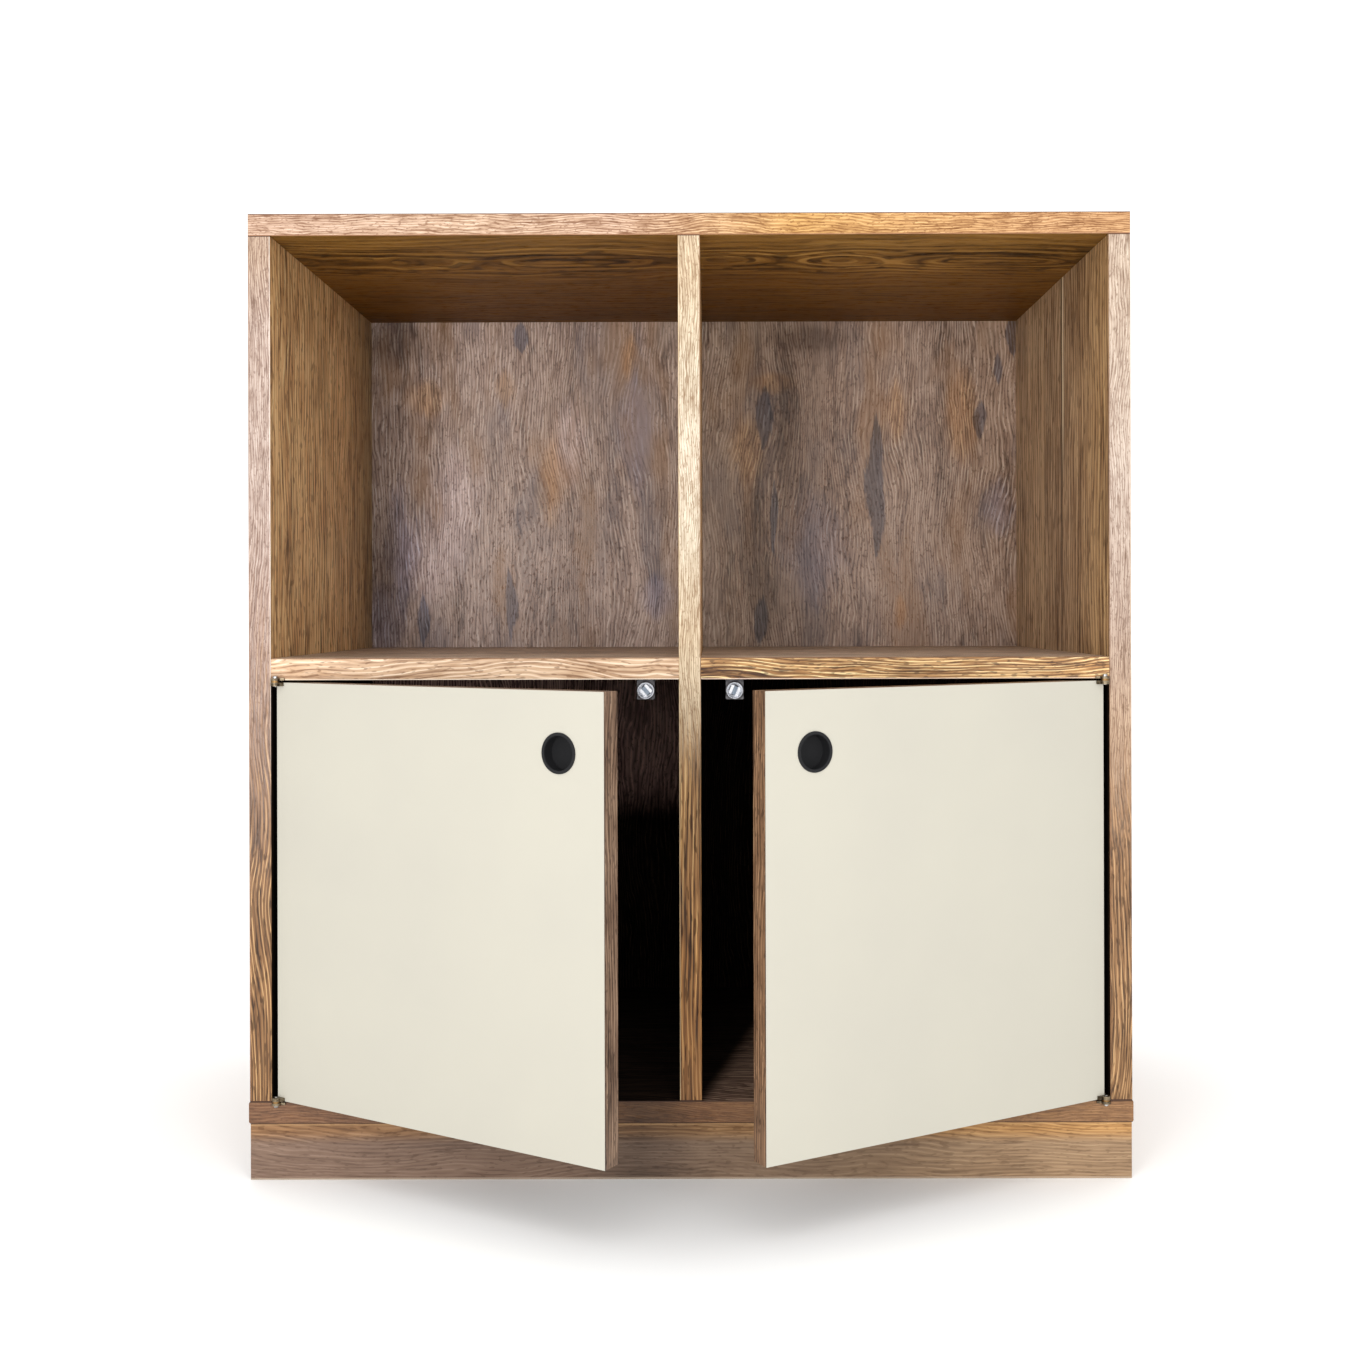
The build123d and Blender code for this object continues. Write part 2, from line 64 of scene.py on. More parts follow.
# Studio: a pale floor that runs out of sight, a white room, a broad lamp over the front and two
# tall soft lamps either side of the camera, the left one stronger. The floor's paint is the first
# finish, so the classes that mix every finish, by maths on a piece's own places, come first.
class Tone:
    """One socket of a finish, on which Python's arithmetic adds Math nodes."""

    def __init__(self, finish, socket):
        self.finish = finish
        self.socket = socket

    def sum(self, operation, *others):
        names = ("Value", "Value_001", "Value_002")
        terms = dict(zip(names, others or (self,)))
        return self.finish.node("ShaderNodeMath", {"operation": operation}, terms)

    def __add__(self, other):
        return self.sum("ADD", self, other)

    def __sub__(self, other):
        return self.sum("SUBTRACT", self, other)

    def __rsub__(self, other):
        return self.sum("SUBTRACT", other, self)

    def __mul__(self, other):
        return self.sum("MULTIPLY", self, other)

    def __abs__(self):
        return self.sum("ABSOLUTE", self)

    def __pow__(self, other):
        return self.sum("POWER", self, other)

    def __gt__(self, other):
        return self.sum("GREATER_THAN", self, other)

    def __lt__(self, other):
        return self.sum("LESS_THAN", self, other)

    __radd__ = __add__
    __rmul__ = __mul__


class Finish:
    """One material being mixed."""

    def __init__(self, name):
        self.material = bpy.data.materials.new(name)
        self.material.use_nodes = True
        self.nodes = self.material.node_tree.nodes
        self.nodes.clear()
        self.place = self.node("ShaderNodeTexCoord", {}, {}, "Object")

    def node(self, kind, settings, inputs, output=None):
        """A node with its settings made and its sockets filled or linked, as one of its outputs."""
        made = self.nodes.new(kind)
        for name, value in settings.items():
            if name == "stops":
                for spare in range(len(value) - 2):
                    made.color_ramp.elements.new(1)
                for element, (position, colour) in zip(made.color_ramp.elements, value):
                    element.position = position
                    element.color = colour
            else:
                setattr(made, name, value)
        for name, value in inputs.items():
            socket = next(found for found in made.inputs if found.identifier == name)
            if isinstance(value, Tone):
                self.material.node_tree.links.new(value.socket, socket)
            else:
                socket.default_value = value
        for found in made.outputs:
            if output in (None, found.identifier):
                return Tone(self, found)

    def scaled(self, place, across, along):
        """Places stretched along the grain, which runs along their third axis."""
        stretch = {"Vector": place, "Vector_001": (across, across, along)}
        return self.node("ShaderNodeVectorMath", {"operation": "MULTIPLY"}, stretch)

    def noise(self, place, across, along, detail=2, roughness=0.5, output="Fac"):
        """Soft random figure, so many waves to the metre across the grain and along it."""
        given = {
            "Vector": self.scaled(place, across, along),
            "Scale": 1,
            "Detail": detail,
            "Roughness": roughness,
        }
        return self.node("ShaderNodeTexNoise", {}, given, output)

    def ramp(self, amount, *stops):
        """A colour for each amount, eased between stops of (amount, colour)."""
        return self.node("ShaderNodeValToRGB", {"stops": stops}, {"Fac": amount}, "Color")

    def fade(self, amount, low, high):
        """0 below the low amount, 1 above the high one and a smooth step between."""
        limits = {"Value": amount, "From Min": low, "From Max": high}
        return self.node("ShaderNodeMapRange", {"interpolation_type": "SMOOTHSTEP"}, limits, "Result")

    def blend(self, amount, one, other, way="MIX"):
        """One colour laid over another by an amount."""
        mixed = {"Factor_Float": amount, "A_Color": one, "B_Color": other}
        return self.node("ShaderNodeMix", {"data_type": "RGBA", "blend_type": way}, mixed, "Result_Color")

    def bump(self, height, strength, distance):
        """The slope of a fine relief."""
        relief = {"Height": height, "Strength": strength, "Distance": distance}
        return self.node("ShaderNodeBump", {}, relief)

    def shader(self, sockets):
        """A shader for paint, wood or metal with its sockets filled."""
        return self.node("ShaderNodeBsdfPrincipled", {}, sockets)

    def surface(self, shader):
        """Sends a finished shader to the surface and hands the material over."""
        self.node("ShaderNodeOutputMaterial", {}, {"Surface": shader})
        return self.material


def shade(red, green, blue):
    """A paint-card colour, 0 to 255, as the linear light that the nodes work in."""
    parts = [part / 255 for part in (red, green, blue)]
    return (*[part / 12.92 if part <= 0.04045 else ((part + 0.055) / 1.055) ** 2.4 for part in parts], 1)


floor_side = 24
floor_waves = 3
floor_tones = ((0.3, shade(248, 248, 247)), (0.7, shade(251, 251, 250)))
floor_roughness = 0.8
room_strength = 1.2

bpy.ops.mesh.primitive_plane_add(size=floor_side)
floor = bpy.context.active_object
floor.name = "floor"
floor_paint = Finish("floor_paint")
floor_mottle = floor_paint.noise(floor_paint.place, floor_waves, floor_waves)
floor_tone = floor_paint.ramp(floor_mottle, *floor_tones)
floor_shader = floor_paint.shader({"Base Color": floor_tone, "Roughness": floor_roughness})
floor.data.materials.append(floor_paint.surface(floor_shader))

room = bpy.data.worlds.new("room")
bpy.context.scene.world = room
room.use_nodes = True
room_light = room.node_tree.nodes["Background"].inputs
room_light["Color"].default_value = (1, 1, 1, 1)
room_light["Strength"].default_value = room_strength
bpy.context.scene.view_settings.view_transform = "Standard"


def lamp(name, place, aim_at, size, share):
    """A soft lamp that adds its share of the room's own light where it is aimed."""
    light = bpy.data.lights.new(name, "AREA")
    light.shape = "RECTANGLE"
    light.size, light.size_y = size
    beam = Vector(aim_at) - Vector(place)
    light.energy = share * pi ** 2 * beam.length_squared
    stand = bpy.data.objects.new(name, light)
    bpy.context.scene.collection.objects.link(stand)
    stand.matrix_world = Matrix.Translation(place) @ beam.to_track_quat("-Z", "Y").to_matrix().to_4x4()


lamp("top_lamp", (0, -1.5, 1.9), (0, -0.2, 0.5), (1.5, 0.8), 0.2)
lamp("left_lamp", (-0.62, -1.85, 0.5), (0, 0, 0.55), (0.42, 0.8), 0.28)
lamp("right_lamp", (0.66, -1.85, 0.5), (0, 0, 0.55), (0.42, 0.8), 0.17)


# Carcass boards: wenge veneer over 19 mm board, laid with its grain along each board. The outside
# and the open bays are golden brown; the closed bays are painted nearly black, as painted shade.
side_low, side_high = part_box("left_side")
shelf_low, shelf_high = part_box("left_shelf")
top_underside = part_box("top_board")[0].z
bottom_upper_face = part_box("bottom_board")[1].z
shelf_middle = (shelf_low.z + shelf_high.z) / 2
outside = -side_low.x
inside = -side_high.x
front_face = side_low.y
rear_face = side_high.y
panel_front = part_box("back_panel")[0].y
face_play = 0.0004
upright_grain = (0, 0, 0)
level_grain = (0, radians(90), 0)
# Painted shade: nearly black tones for the faces inside the closed bays.
painted_bay_shade = (shade(10, 7, 6), shade(24, 17, 13), shade(36, 26, 20), shade(54, 40, 31))


class Veneer(Finish):
    """Wenge: pale and dark strokes along the grain and short pores, over broader bands."""

    slow_bends = (11, 5)
    heart_waves = (0.5, 9)
    heart_middle = 0.42
    heart_lean = 0.3
    drift_reach = 16
    pale_patches = (0.36, 0.64)
    pale_crests = (0.30, 0.95)
    dark_troughs = (-0.25, -0.95)
    pore_pits = (0.42, 0.32)
    body_stops = (0.34, 0.48, 0.62)
    plain_stops = (0.2, 0.9)
    dark_cover = 0.8
    streak_cover = 0.85
    pore_cover = 0.6
    satin_relief = (0.3, 0.0003)
    matt_roughness = 0.9
    matt_shine = 0.05

    def __init__(self, name, turn, shift):
        super().__init__(name)
        turned = {"Vector": self.place, "Location": shift, "Rotation": turn}
        self.flat = self.node("ShaderNodeMapping", {}, turned)
        self.x, self.y, self.z = self.split(self.place)

    def split(self, place):
        return [self.node("ShaderNodeSeparateXYZ", {}, {"Vector": place}, axis) for axis in "XYZ"]

    def wander(self, place, across, along, reach):
        """Places pushed sideways by a slow noise, so that lines of grain wander."""
        push = self.noise(place, across, along, 1, output="Color")
        middle = {"Vector": push, "Vector_001": (0.5, 0.5, 0.5)}
        push = self.node("ShaderNodeVectorMath", {"operation": "SUBTRACT"}, middle)
        moved = {"Vector": place, "Vector_001": self.scaled(push, reach * 2, 0)}
        return self.node("ShaderNodeVectorMath", {"operation": "ADD"}, moved)

    def figure(self, period, length, sway, bend=0.014, blotch=0.5, heart=None, swell=0):
        """Works out strokes so far apart, so long and swaying so much, as rings round a heart line."""
        wave = 1 / period
        run = 1 / length
        band = wave / 5
        hair = wave * 1.7
        self.flow = self.wander(self.flat, *self.slow_bends, bend)
        line = self.wander(self.flow, wave / 4, run / 2, sway)
        across, depth, along = self.split(line)
        if heart is not None:
            height = (self.noise(self.flow, *self.heart_waves, 2) - self.heart_middle) * swell
            self.from_heart = ((depth - heart) * (depth - heart) + height * height) ** 0.5
            leaning = {"X": across + depth * self.heart_lean, "Y": self.from_heart, "Z": along}
            line = self.node("ShaderNodeCombineXYZ", {}, leaning)
            depth = self.from_heart
        drift = self.noise(self.flow, band, run / 6, 2)
        lines = ((across + depth) * (2 * pi * wave) + drift * self.drift_reach).sum("SINE")
        bands = self.noise(self.flow, band, run / 9, 3, 0.62)
        fibres = self.noise(line, hair, run / 1.5, 2, 0.6)
        paler = self.fade(self.noise(line, wave / 1.5, run / 2, 1), *self.pale_patches)
        self.tone = bands * blotch + fibres * (1 - blotch)
        self.pale_lines = self.fade(lines, *self.pale_crests) * paler
        self.dark_lines = self.fade(lines, *self.dark_troughs) * (1 - paler)
        self.pores = self.fade(self.noise(line, hair, run * 2.6, 1), *self.pore_pits)

    def stain(self, tones, strength=1):
        """The figure in four tones of one wood, fainter where its strength is under 1."""
        dark, ground, pale, streak = tones
        body = self.ramp(self.tone, *zip(self.body_stops, (dark, ground, pale)))
        plain = self.ramp(self.tone, *zip(self.plain_stops, (ground, pale)))
        body = self.blend(strength, plain, body)
        body = self.blend(self.dark_lines * self.dark_cover * strength, body, dark)
        body = self.blend(self.pale_lines * self.streak_cover * strength, body, streak)
        return self.blend(self.pores * self.pore_cover * strength, body, dark)

    def share(self, place, spread):
        """A place in metres as a share, 0 to 1, by a spread of (share to the metre, share at 0)."""
        to_the_metre, at_middle = spread
        return place * to_the_metre + at_middle

    def toned(self, colour, amount, *stops):
        """A colour deepened from place to place, by tints at stops of (amount, tint)."""
        if not stops:
            return colour
        stops = [(stop, (*tint, 1)) for stop, tint in stops]
        return self.blend(1, colour, self.ramp(amount, *stops), "MULTIPLY")

    def line_at(self, value, place, half_width):
        """1 within a half width of a place, for joints, arrises and seams."""
        return abs(value - place) < half_width

    def closed_bay(self):
        """1 on the faces that look into the bays behind the doors, where shade is painted."""
        across = abs(self.x) < inside + face_play
        deep = (self.y > front_face + face_play) * (self.y < panel_front + face_play)
        return across * deep * (self.z > bottom_upper_face - face_play) * (self.z < shelf_middle)

    def front_edge(self):
        """1 on the narrow faces that look forward."""
        return self.y < front_face + face_play

    def board(self, colour, roughness=0.5, shine=0.3):
        """Satin board with open pores."""
        relief = self.bump(self.pale_lines - self.pores, *self.satin_relief)
        gloss = self.pale_lines * 0.1 + self.pores * 0.2 + (roughness - 0.06)
        made = {"Base Color": colour, "Roughness": gloss, "Normal": relief, "Specular IOR Level": shine}
        return self.shader(made)

    def with_painted_bay_shade(self, satin, colour=None):
        """The board as it is outside, and matt and nearly black in the closed bays, as painted shade."""
        made = {
            "Base Color": colour or self.stain(painted_bay_shade),
            "Roughness": self.matt_roughness,
            "Specular IOR Level": self.matt_shine,
        }
        joined = {"Fac": self.closed_bay(), "Shader": satin, "Shader_001": self.shader(made)}
        return self.node("ShaderNodeMixShader", {}, joined)


# Sides and divider: upright boards, golden brown within. Their front edges are lipped, pale and
# fine-grained above, and browner below, where the grain opens into long dark stripes.
# The edges' drop in brightness from top to foot is partly painted light, through the tints by height.
outer_tones = (shade(92, 62, 40), shade(142, 106, 76), shade(164, 127, 94), shade(188, 152, 117))
outer_strokes = {"period": 0.0042, "length": 0.036, "sway": 0.0018, "bend": 0.02, "blotch": 0.45}
edge_strokes = {"period": 0.0022, "length": 0.010, "sway": 0.0010, "bend": 0.014, "blotch": 0.35}
upright_depth = (2.5, 0.5)
inner_strength = 0.85
pale_strength = 0.9
seam_width = 0.0028
seam_run_in = 0.1
seam_cover = 0.8
low_arris_width = 0.0008
high_arris_width = 0.0007
high_arris_height = (0.3, 0.5)
upright_arris_cover = 0.6
joint_width = 0.0008
joint_shadow = shade(70, 44, 30)


class Upright:
    """What differs between the two sides and the divider, with the left side's own values."""

    shift = (3, 0, 1)
    figure = {"period": 0.0085, "length": 0.030, "sway": 0.0034, "blotch": 0.35}
    inner = (shade(66, 40, 20), shade(202, 156, 105), shade(235, 192, 138), shade(252, 228, 174))
    # Painted shade across the inner face: darker at the front and much darker in the back corner.
    inner_painted_shade = (
        (0.1, (0.82, 0.79, 0.76)),
        (0.42, (0.96, 0.96, 0.95)),
        (0.66, (1, 1, 1)),
        (0.78, (0.80, 0.79, 0.77)),
        (1, (0.5, 0.52, 0.51)),
    )
    pale = (shade(110, 84, 70), shade(164, 141, 126), shade(180, 160, 147), shade(204, 188, 174))
    # Painted light by height on the pale edge: brightest in a band high up, dimmer below it and at the top.
    pale_painted_light = (
        (0.48, (0.90, 0.86, 0.89)),
        (0.60, (0.95, 0.95, 0.98)),
        (0.74, (0.98, 0.98, 1)),
        (0.80, (0.93, 0.87, 0.78)),
    )
    brown = (shade(34, 18, 8), shade(112, 78, 48), shade(138, 102, 67), shade(194, 156, 112))
    # Painted shade by height: the brown edge a little darker and warmer at the foot.
    brown_painted_shade = ((0.1, (1, 0.97, 0.88)), (0.3, (1, 1, 1)))
    stripes = {"period": 0.0029, "length": 0.04, "sway": 0.0012, "blotch": 0.35}
    pale_to_brown = (0.60, 0.20)
    low_arris = shade(150, 112, 88)
    high_arris = shade(236, 224, 212)
    seams = ()


class RightSide(Upright):
    """Three seams of its veneer show, each from its own height up."""

    shift = (7, 0, 4)
    figure = {"period": 0.0095, "length": 0.040, "sway": 0.0030, "blotch": 0.35}
    inner = (shade(84, 58, 34), shade(188, 155, 120), shade(217, 186, 147), shade(249, 223, 182))
    # Painted light and shade across the inner face: darkest and warmest at the front, lightest well back.
    inner_painted_shade = (
        (0.05, (0.73, 0.64, 0.5)),
        (0.4, (0.74, 0.7, 0.68)),
        (0.8, (1, 1, 1)),
        (1, (0.92, 0.92, 0.95)),
    )
    pale = (shade(116, 92, 74), shade(175, 154, 138), shade(192, 174, 158), shade(214, 200, 184))
    # Painted light by height on the pale edge, dimmer and warmer low down.
    pale_painted_light = (
        (0.40, (0.80, 0.69, 0.58)),
        (0.48, (0.78, 0.72, 0.70)),
        (0.60, (0.95, 0.95, 0.97)),
        (0.78, (0.94, 0.92, 0.88)),
    )
    # Painted shade: the brown edge a little darker at the foot.
    brown_painted_shade = ((0.1, (0.95, 0.95, 0.88)), (0.3, (1, 1, 1)))
    brown = (shade(48, 28, 14), shade(124, 89, 57), shade(149, 111, 75), shade(192, 153, 112))
    stripes = {"period": 0.0029, "length": 0.03, "sway": 0.002, "blotch": 0.35}
    pale_to_brown = (0.42, 0.25)
    low_arris = shade(120, 84, 56)
    high_arris = shade(200, 176, 150)
    seams = (
        (-0.034, shade(255, 240, 204), 0.6),
        (-0.0275, shade(60, 42, 26), 0.3),
        (0.062, shade(214, 184, 140), 0.4),
    )


class Divider(Upright):
    """Paler than the sides, and honey brown low down."""

    shift = (1, 0, 2)
    pale = (shade(130, 100, 70), shade(187, 170, 148), shade(205, 190, 169), shade(229, 218, 198))
    # Painted light by height on the pale edge: brightest at mid height, darker and warmer below and above.
    pale_painted_light = (
        (0.47, (1, 0.93, 0.82)),
        (0.55, (0.97, 0.97, 0.95)),
        (0.62, (1, 1, 1)),
        (0.70, (0.93, 0.93, 0.90)),
        (0.78, (0.87, 0.80, 0.70)),
    )
    brown = (shade(50, 28, 14), shade(163, 111, 63), shade(203, 148, 90), shade(240, 188, 129))
    stripes = {"period": 0.0036, "length": 0.04, "sway": 0.0010, "bend": 0.005, "blotch": 0.3}
    # Painted shade by height: the brown edge much darker at the foot.
    brown_painted_shade = (
        (0.08, (0.6, 0.56, 0.5)),
        (0.15, (0.85, 0.80, 0.68)),
        (0.19, (1, 0.98, 0.85)),
        (0.33, (0.86, 0.95, 1)),
    )
    pale_to_brown = (0.43, 0.33)
    low_arris = shade(214, 190, 150)
    high_arris = shade(120, 76, 48)


def coat(node, material):
    """Gives a CAD piece its finish."""
    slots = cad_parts[node].data.materials
    slots.clear()
    slots.append(material)


def upright(name, kind):
    """Finishes one upright: its faces within and outside first, and then its front edge."""
    low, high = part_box(name)
    wood = Veneer(name + "_veneer", upright_grain, kind.shift)
    wood.figure(**kind.figure)
    body = wood.stain(kind.inner, inner_strength)
    body = wood.toned(body, wood.share(wood.y, upright_depth), *kind.inner_painted_shade)
    for seam, tone, start in kind.seams:
        shown = wood.line_at(wood.y, seam, seam_width) * wood.fade(wood.z, start, start + seam_run_in)
        body = wood.blend(shown * seam_cover, body, tone)
    wood.figure(**outer_strokes)
    body = wood.blend(abs(wood.x) < inside + face_play, wood.stain(outer_tones), body)
    wood.figure(**edge_strokes)
    pale = wood.toned(wood.stain(kind.pale, pale_strength), wood.z, *kind.pale_painted_light)
    wood.figure(**kind.stripes)
    brown = wood.toned(wood.stain(kind.brown), wood.z, *kind.brown_painted_shade)
    edge = wood.blend(wood.fade(wood.z, *kind.pale_to_brown), pale, brown)
    arris = wood.line_at(wood.x, low.x, low_arris_width)
    edge = wood.blend(arris * upright_arris_cover, edge, kind.low_arris)
    arris = wood.line_at(wood.x, high.x, high_arris_width) * wood.fade(wood.z, *high_arris_height)
    edge = wood.blend(arris * upright_arris_cover, edge, kind.high_arris)
    for joint in (top_underside, bottom_upper_face):
        edge = wood.blend(wood.line_at(wood.z, joint, joint_width), edge, joint_shadow)
    colour = wood.blend(wood.front_edge(), body, edge)
    coat(name, wood.surface(wood.with_painted_bay_shade(wood.board(colour))))


upright("left_side", Upright)
upright("right_side", RightSide)
upright("centre_divider", Divider)


# Top, shelves and bottom: level boards with their grain running across the piece, let in between
# the sides or laid over them on dowels. The top shows its heart on its underside.
level_arris_width = 0.0009
level_arris_cover = 0.8
full_width = (1.3, 0.5)
level_depth = (2.37, 0.51)
either_side_of_divider = (20, 0.5)
heart_fade = (0.09, 0.03)
away_from_heart = 0.35


class Shelf:
    """What differs between the level boards, with the shelves' own values."""

    face = (shade(70, 50, 38), shade(172, 146, 124), shade(206, 180, 156), shade(246, 224, 200))
    face_strokes = {"period": 0.0052, "length": 0.045, "sway": 0.0022, "bend": 0.02, "blotch": 0.4}
    face_tints_and_shade = ()
    bay_painted_shade = ()
    strokes = {"period": 0.0032, "length": 0.020, "sway": 0.0018, "blotch": 0.6}
    edge_strength = 1
    edge_tints_and_shade = ()
    shine = 0.3
    upper_face_outside = False


class LeftShelf(Shelf):
    """Pale edge with a pale line along its lower arris."""

    shift = (4, 0, 9)
    face_tints_and_shade = ((0, (0.88, 0.88, 0.88)), (1, (0.88, 0.88, 0.88)))
    edge = (shade(120, 84, 54), shade(191, 155, 122), shade(214, 182, 150), shade(240, 216, 188))
    upper_arris = shade(120, 84, 56)
    lower_arris = shade(246, 228, 206)


class RightShelf(Shelf):
    """Golden edge with strong dark figure."""

    shift = (8, 0, 2)
    edge = (shade(54, 28, 14), shade(164, 119, 72), shade(216, 171, 115), shade(255, 226, 168))
    upper_arris = shade(104, 68, 44)
    lower_arris = shade(240, 212, 190)


class TopBoard(Shelf):
    """Pinkish at the left of its edge and golden at the right, with a dark heart below."""

    shift = (2, 0, 6)
    face = (shade(24, 12, 3), shade(134, 95, 43), shade(159, 117, 58), shade(194, 150, 82))
    face_strokes = {
        "period": 0.014, "length": 0.06, "sway": 0.004, "bend": 0.02, "blotch": 0.35,
        "heart": -0.107, "swell": 0.11,
    }
    # Painted shade on the underside: darker and more golden toward the back.
    face_tints_and_shade = (
        (0.1, (0.97, 0.97, 0.95)),
        (0.45, (0.85, 0.77, 0.62)),
        (0.8, (0.66, 0.54, 0.17)),
        (1, (0.56, 0.45, 0.08)),
    )
    # Painted shade: the underside over the left bay darker than over the right.
    bay_painted_shade = ((0, (0.86, 0.84, 0.8)), (1, (1, 1, 1)))
    strokes = {"period": 0.0023, "length": 0.009, "sway": 0.0010, "blotch": 0.45}
    edge = (shade(122, 86, 64), shade(177, 144, 119), shade(195, 163, 139), shade(222, 194, 171))
    edge_tints_and_shade = (
        (0.05, (0.9, 0.9, 0.93)),
        (0.25, (0.97, 1, 1)),
        (0.42, (0.96, 0.96, 0.97)),
        (0.62, (0.95, 0.80, 0.42)),
        (0.9, (0.95, 0.81, 0.57)),
    )
    upper_arris = shade(96, 62, 44)
    lower_arris = shade(150, 110, 84)
    shine = 0.08
    upper_face_outside = True


class BottomBoard(Shelf):
    """Plain brown, its front edge painted darker in the left door's shadow and toward its left end."""

    shift = (5, 0, 3)
    face = (shade(70, 46, 30), shade(124, 88, 60), shade(146, 108, 72), shade(176, 136, 98))
    face_tints_and_shade = ((0, (0.5, 0.5, 0.5)), (1, (0.5, 0.5, 0.5)))
    strokes = TopBoard.strokes
    edge = face
    edge_strength = 0.5
    # Painted shade along the front edge: darkest in the left door's shadow just left of the divider, and
    # darker at the left end than the right.
    edge_tints_and_shade = (
        (0.1, (0.73, 0.69, 0.74)),
        (0.37, (0.65, 0.60, 0.57)),
        (0.413, (0.46, 0.42, 0.40)),
        (0.444, (0.32, 0.29, 0.26)),
        (0.472, (0.45, 0.41, 0.37)),
        (0.507, (0.79, 0.71, 0.64)),
        (0.556, (0.73, 0.67, 0.61)),
        (0.63, (0.74, 0.70, 0.64)),
        (0.9, (1, 1, 0.95)),
    )
    upper_arris = shade(60, 38, 26)
    lower_arris = shade(60, 38, 26)


def level_board(name, kind):
    """The wood of a level board and its satin shader, ready for the dark bays."""
    low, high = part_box(name)
    wood = Veneer(name + "_veneer", level_grain, kind.shift)
    wood.figure(**kind.face_strokes)
    strength = 1
    if "heart" in kind.face_strokes:
        strength = wood.fade(wood.from_heart, *heart_fade) * (1 - away_from_heart) + away_from_heart
    body = wood.toned(wood.stain(kind.face, strength), wood.share(wood.y, level_depth), *kind.face_tints_and_shade)
    body = wood.toned(body, wood.share(wood.x, either_side_of_divider), *kind.bay_painted_shade)
    wood.figure(**kind.strokes)
    edge = wood.stain(kind.edge, kind.edge_strength)
    edge = wood.toned(edge, wood.share(wood.x, full_width), *kind.edge_tints_and_shade)
    for height, tone in ((high.z, kind.upper_arris), (low.z, kind.lower_arris)):
        arris = wood.line_at(wood.z, height, level_arris_width)
        edge = wood.blend(arris * level_arris_cover, edge, tone)
    outer = (abs(wood.x) > outside - face_play) + (wood.y > rear_face - face_play)
    if kind.upper_face_outside:
        outer = outer + (wood.z > high.z - face_play)
    wood.figure(**outer_strokes)
    body = wood.blend(outer > 0.5, body, wood.stain(outer_tones))
    return wood, wood.board(wood.blend(wood.front_edge(), body, edge), shine=kind.shine)


top_wood, top_satin = level_board("top_board", TopBoard)
coat("top_board", top_wood.surface(top_satin))

# Painted light on the right closed bay's floor, cut off by a painted shadow edge that slants right as it
# runs back from beside the divider; the rest of the bay floor is painted shade.
painted_floor_light = (shade(66, 48, 38), shade(120, 94, 79), shade(147, 118, 100), shade(196, 165, 139))
lit_from = (0.046, 0.064)
lit_slant = 0.203
bottom_wood, bottom_satin = level_board("bottom_board", BottomBoard)
lit = bottom_wood.fade(bottom_wood.x - bottom_wood.y * lit_slant, *lit_from)
bay_floor = bottom_wood.blend(lit, bottom_wood.stain(painted_bay_shade), bottom_wood.stain(painted_floor_light))
coat("bottom_board", bottom_wood.surface(bottom_wood.with_painted_bay_shade(bottom_satin, bay_floor)))
for name, kind in (("left_shelf", LeftShelf), ("right_shelf", RightShelf)):
    shelf_wood, shelf_satin = level_board(name, kind)
    coat(name, shelf_wood.surface(shelf_wood.with_painted_bay_shade(shelf_satin)))


# Back panel: one thin veneered sheet screwed to the carcass, greyer than the boards. Its veneer has
# bluish-grey streaks and golden patches, and a painted whitish sheen lies near the left side.
class Mark:
    """Pointed patches of one tint on the sheet, each (across, up, half width, half height)."""

    def __init__(self, tint, rim, *patches):
        self.tint = (*tint, 1)
        self.rim = rim
        self.patches = patches


crisp = (1.35, 0.85)
soft = (1.9, 0.2)
grey_streaks = Mark(
    (0.50, 0.56, 0.72), crisp,
    (-0.194, 0.799, 0.008, 0.017), (-0.206, 0.500, 0.007, 0.042), (-0.302, 0.485, 0.006, 0.028),
    (0.078, 0.707, 0.008, 0.034), (0.089, 0.594, 0.005, 0.038), (0.204, 0.630, 0.009, 0.080),
    (0.322, 0.706, 0.006, 0.022), (0.339, 0.763, 0.005, 0.018), (0.075, 0.479, 0.008, 0.026),
    (0.358, 0.798, 0.005, 0.020),
)
lilac_patches = Mark(
    (0.88, 0.96, 1.22), soft,
    (-0.064, 0.690, 0.014, 0.066), (0.343, 0.605, 0.013, 0.032), (-0.041, 0.506, 0.018, 0.024),
    (-0.330, 0.560, 0.014, 0.070), (0.135, 0.560, 0.030, 0.060), (-0.350, 0.480, 0.020, 0.040),
)
golden_patches = Mark(
    (1.16, 1.0, 0.76), soft,
    (-0.299, 0.730, 0.018, 0.020), (-0.071, 0.776, 0.008, 0.026), (-0.212, 0.740, 0.008, 0.022),
    (0.088, 0.747, 0.018, 0.012), (0.227, 0.715, 0.012, 0.034), (0.231, 0.489, 0.008, 0.020),
    (0.300, 0.710, 0.016, 0.050), (0.060, 0.670, 0.018, 0.040), (-0.160, 0.640, 0.012, 0.050),
)
# Painted sheen: whitish patches on the left bay's sheet where a lamp's reflection falls.
painted_sheen = Mark(
    (1.34, 1.40, 1.56), soft,
    (-0.296, 0.550, 0.030, 0.050), (-0.140, 0.676, 0.018, 0.044), (-0.268, 0.615, 0.024, 0.060),
)
